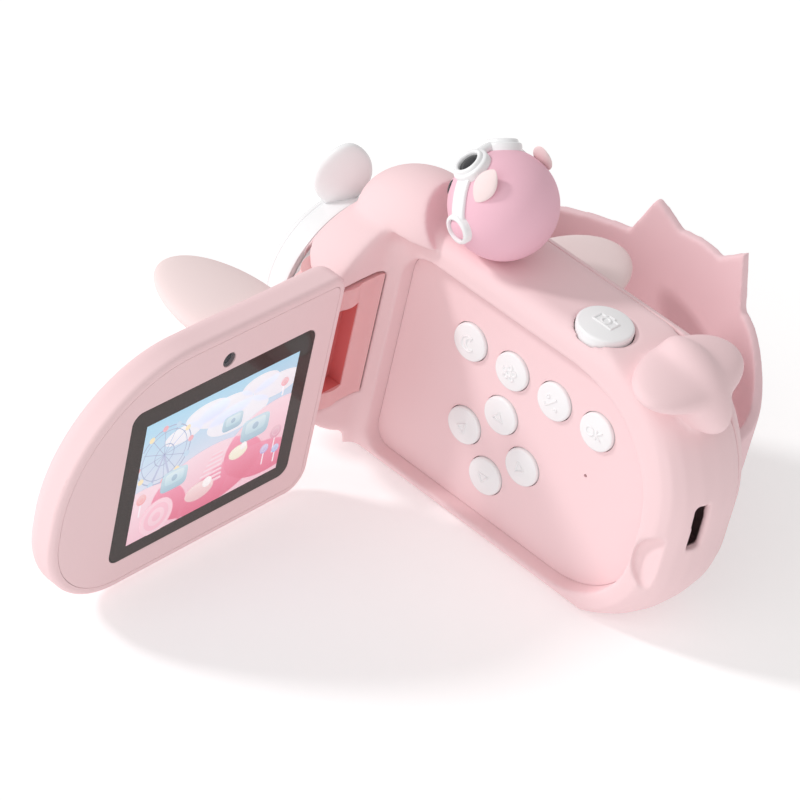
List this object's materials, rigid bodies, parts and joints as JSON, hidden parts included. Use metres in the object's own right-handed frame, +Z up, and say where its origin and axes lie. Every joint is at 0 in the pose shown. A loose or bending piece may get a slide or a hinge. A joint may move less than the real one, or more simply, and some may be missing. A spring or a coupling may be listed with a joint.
{
  "type": "kids digital camera",
  "caption": "Child's hand-held camcorder shaped like a toy aeroplane, with a flip-out screen, push keys, a spinning propeller round the lens and a hand strap.",
  "frame": {"origin": "on the flat underside, on the camcorder's centre plane, near the middle of its length", "axes": "+X to the camcorder's left, where the screen opens; +Y to the rear; +Z up; the lens looks along -Y"},
  "size_m": [0.1696, 0.1245, 0.0985],
  "materials": {
    "shell_pink": "fine matt moulded ABS",
    "soft_pink": "soft matt silicone",
    "pilot_pink": "satin moulded plastic",
    "pale_pink": "fine matt moulded ABS",
    "white": "satin white ABS",
    "black": "gloss black",
    "screen_glass": "clear cover lens with a black printed border",
    "lens_glass": "clear coated glass",
    "steel": "zinc plated",
    "metal_can": "satin metal can",
    "board": "green solder mask",
    "switch_rubber": "translucent silicone"
  },
  "bodies": {
    "housing": {"battery": "metal_can", "camera_module": "black", "card_socket": "steel", "control_panel": "shell_pink", "ear_cups": "white", "ear_pads": "pilot_pink", "goggle_lenses": "black", "goggles": "white", "hand_strap": "soft_pink", "headset_band": "white", "hinge_pin": "steel", "hinge_washers": "steel", "housing_screws": "steel", "key_mat": "switch_rubber", "lens_barrel": "white", "lens_bezel": "black", "lens_glass": "lens_glass", "main_board": "board", "main_housing": "shell_pink", "microphone": "metal_can", "pilot_ears": "pale_pink", "pilot_eyes": "black", "pilot_head": "pilot_pink", "pilot_snout": "pilot_pink", "right_cover": "shell_pink", "right_wing": "pale_pink", "shutter_switch": "black", "speaker": "metal_can", "usb_socket": "steel"},
    "screen_door": {"door_back": "shell_pink", "door_bezel": "shell_pink", "display_glass": "screen_glass", "display_module": "black", "door_screws": "steel", "selfie_window": "lens_glass", "selfie_camera": "black", "hinge_knuckle": "shell_pink", "left_wing": "pale_pink"},
    "propeller_ring": {"propeller": "white"},
    "shutter": {"shutter_button": "white"},
    "power_key_cap": {"power_key": "white"},
    "effects_key_cap": {"effects_key": "white"},
    "edit_key_cap": {"edit_key": "white"},
    "ok_key_cap": {"ok_key": "white"},
    "left_key_cap": {"left_key": "white"},
    "up_key_cap": {"up_key": "white"},
    "down_key_cap": {"down_key": "white"},
    "right_key_cap": {"right_key": "white"}
  },
  "joints": [
    {"name": "screen_hinge", "type": "hinge", "parent": "housing", "child": "screen_door", "pos_m": [0.0206, -0.0441, 0.0372], "axis": [0, 0, 1], "range_deg": [0, 90]},
    {"name": "propeller_spin", "type": "hinge", "parent": "housing", "child": "propeller_ring", "pos_m": [0, -0.061, 0.0379], "axis": [0, 1, 0], "continuous": true},
    {"name": "shutter_press", "type": "slide", "parent": "housing", "child": "shutter", "axis": [0, 0, -1], "range_m": [0, 0.001], "stiffness_N_per_m": 1200, "springref_m": -0.0003},
    {"name": "power_key_press", "type": "slide", "parent": "housing", "child": "power_key_cap", "axis": [-1, 0, 0], "range_m": [0, 0.0008], "stiffness_N_per_m": 1000, "springref_m": -0.0003},
    {"name": "effects_key_press", "type": "slide", "parent": "housing", "child": "effects_key_cap", "axis": [-1, 0, 0], "range_m": [0, 0.0008], "stiffness_N_per_m": 1000, "springref_m": -0.0003},
    {"name": "edit_key_press", "type": "slide", "parent": "housing", "child": "edit_key_cap", "axis": [-1, 0, 0], "range_m": [0, 0.0008], "stiffness_N_per_m": 1000, "springref_m": -0.0003},
    {"name": "ok_key_press", "type": "slide", "parent": "housing", "child": "ok_key_cap", "axis": [-1, 0, 0], "range_m": [0, 0.0008], "stiffness_N_per_m": 1000, "springref_m": -0.0003},
    {"name": "left_key_press", "type": "slide", "parent": "housing", "child": "left_key_cap", "axis": [-1, 0, 0], "range_m": [0, 0.0008], "stiffness_N_per_m": 1000, "springref_m": -0.0003},
    {"name": "up_key_press", "type": "slide", "parent": "housing", "child": "up_key_cap", "axis": [-1, 0, 0], "range_m": [0, 0.0008], "stiffness_N_per_m": 1000, "springref_m": -0.0003},
    {"name": "down_key_press", "type": "slide", "parent": "housing", "child": "down_key_cap", "axis": [-1, 0, 0], "range_m": [0, 0.0008], "stiffness_N_per_m": 1000, "springref_m": -0.0003},
    {"name": "right_key_press", "type": "slide", "parent": "housing", "child": "right_key_cap", "axis": [-1, 0, 0], "range_m": [0, 0.0008], "stiffness_N_per_m": 1000, "springref_m": -0.0003}
  ]
}
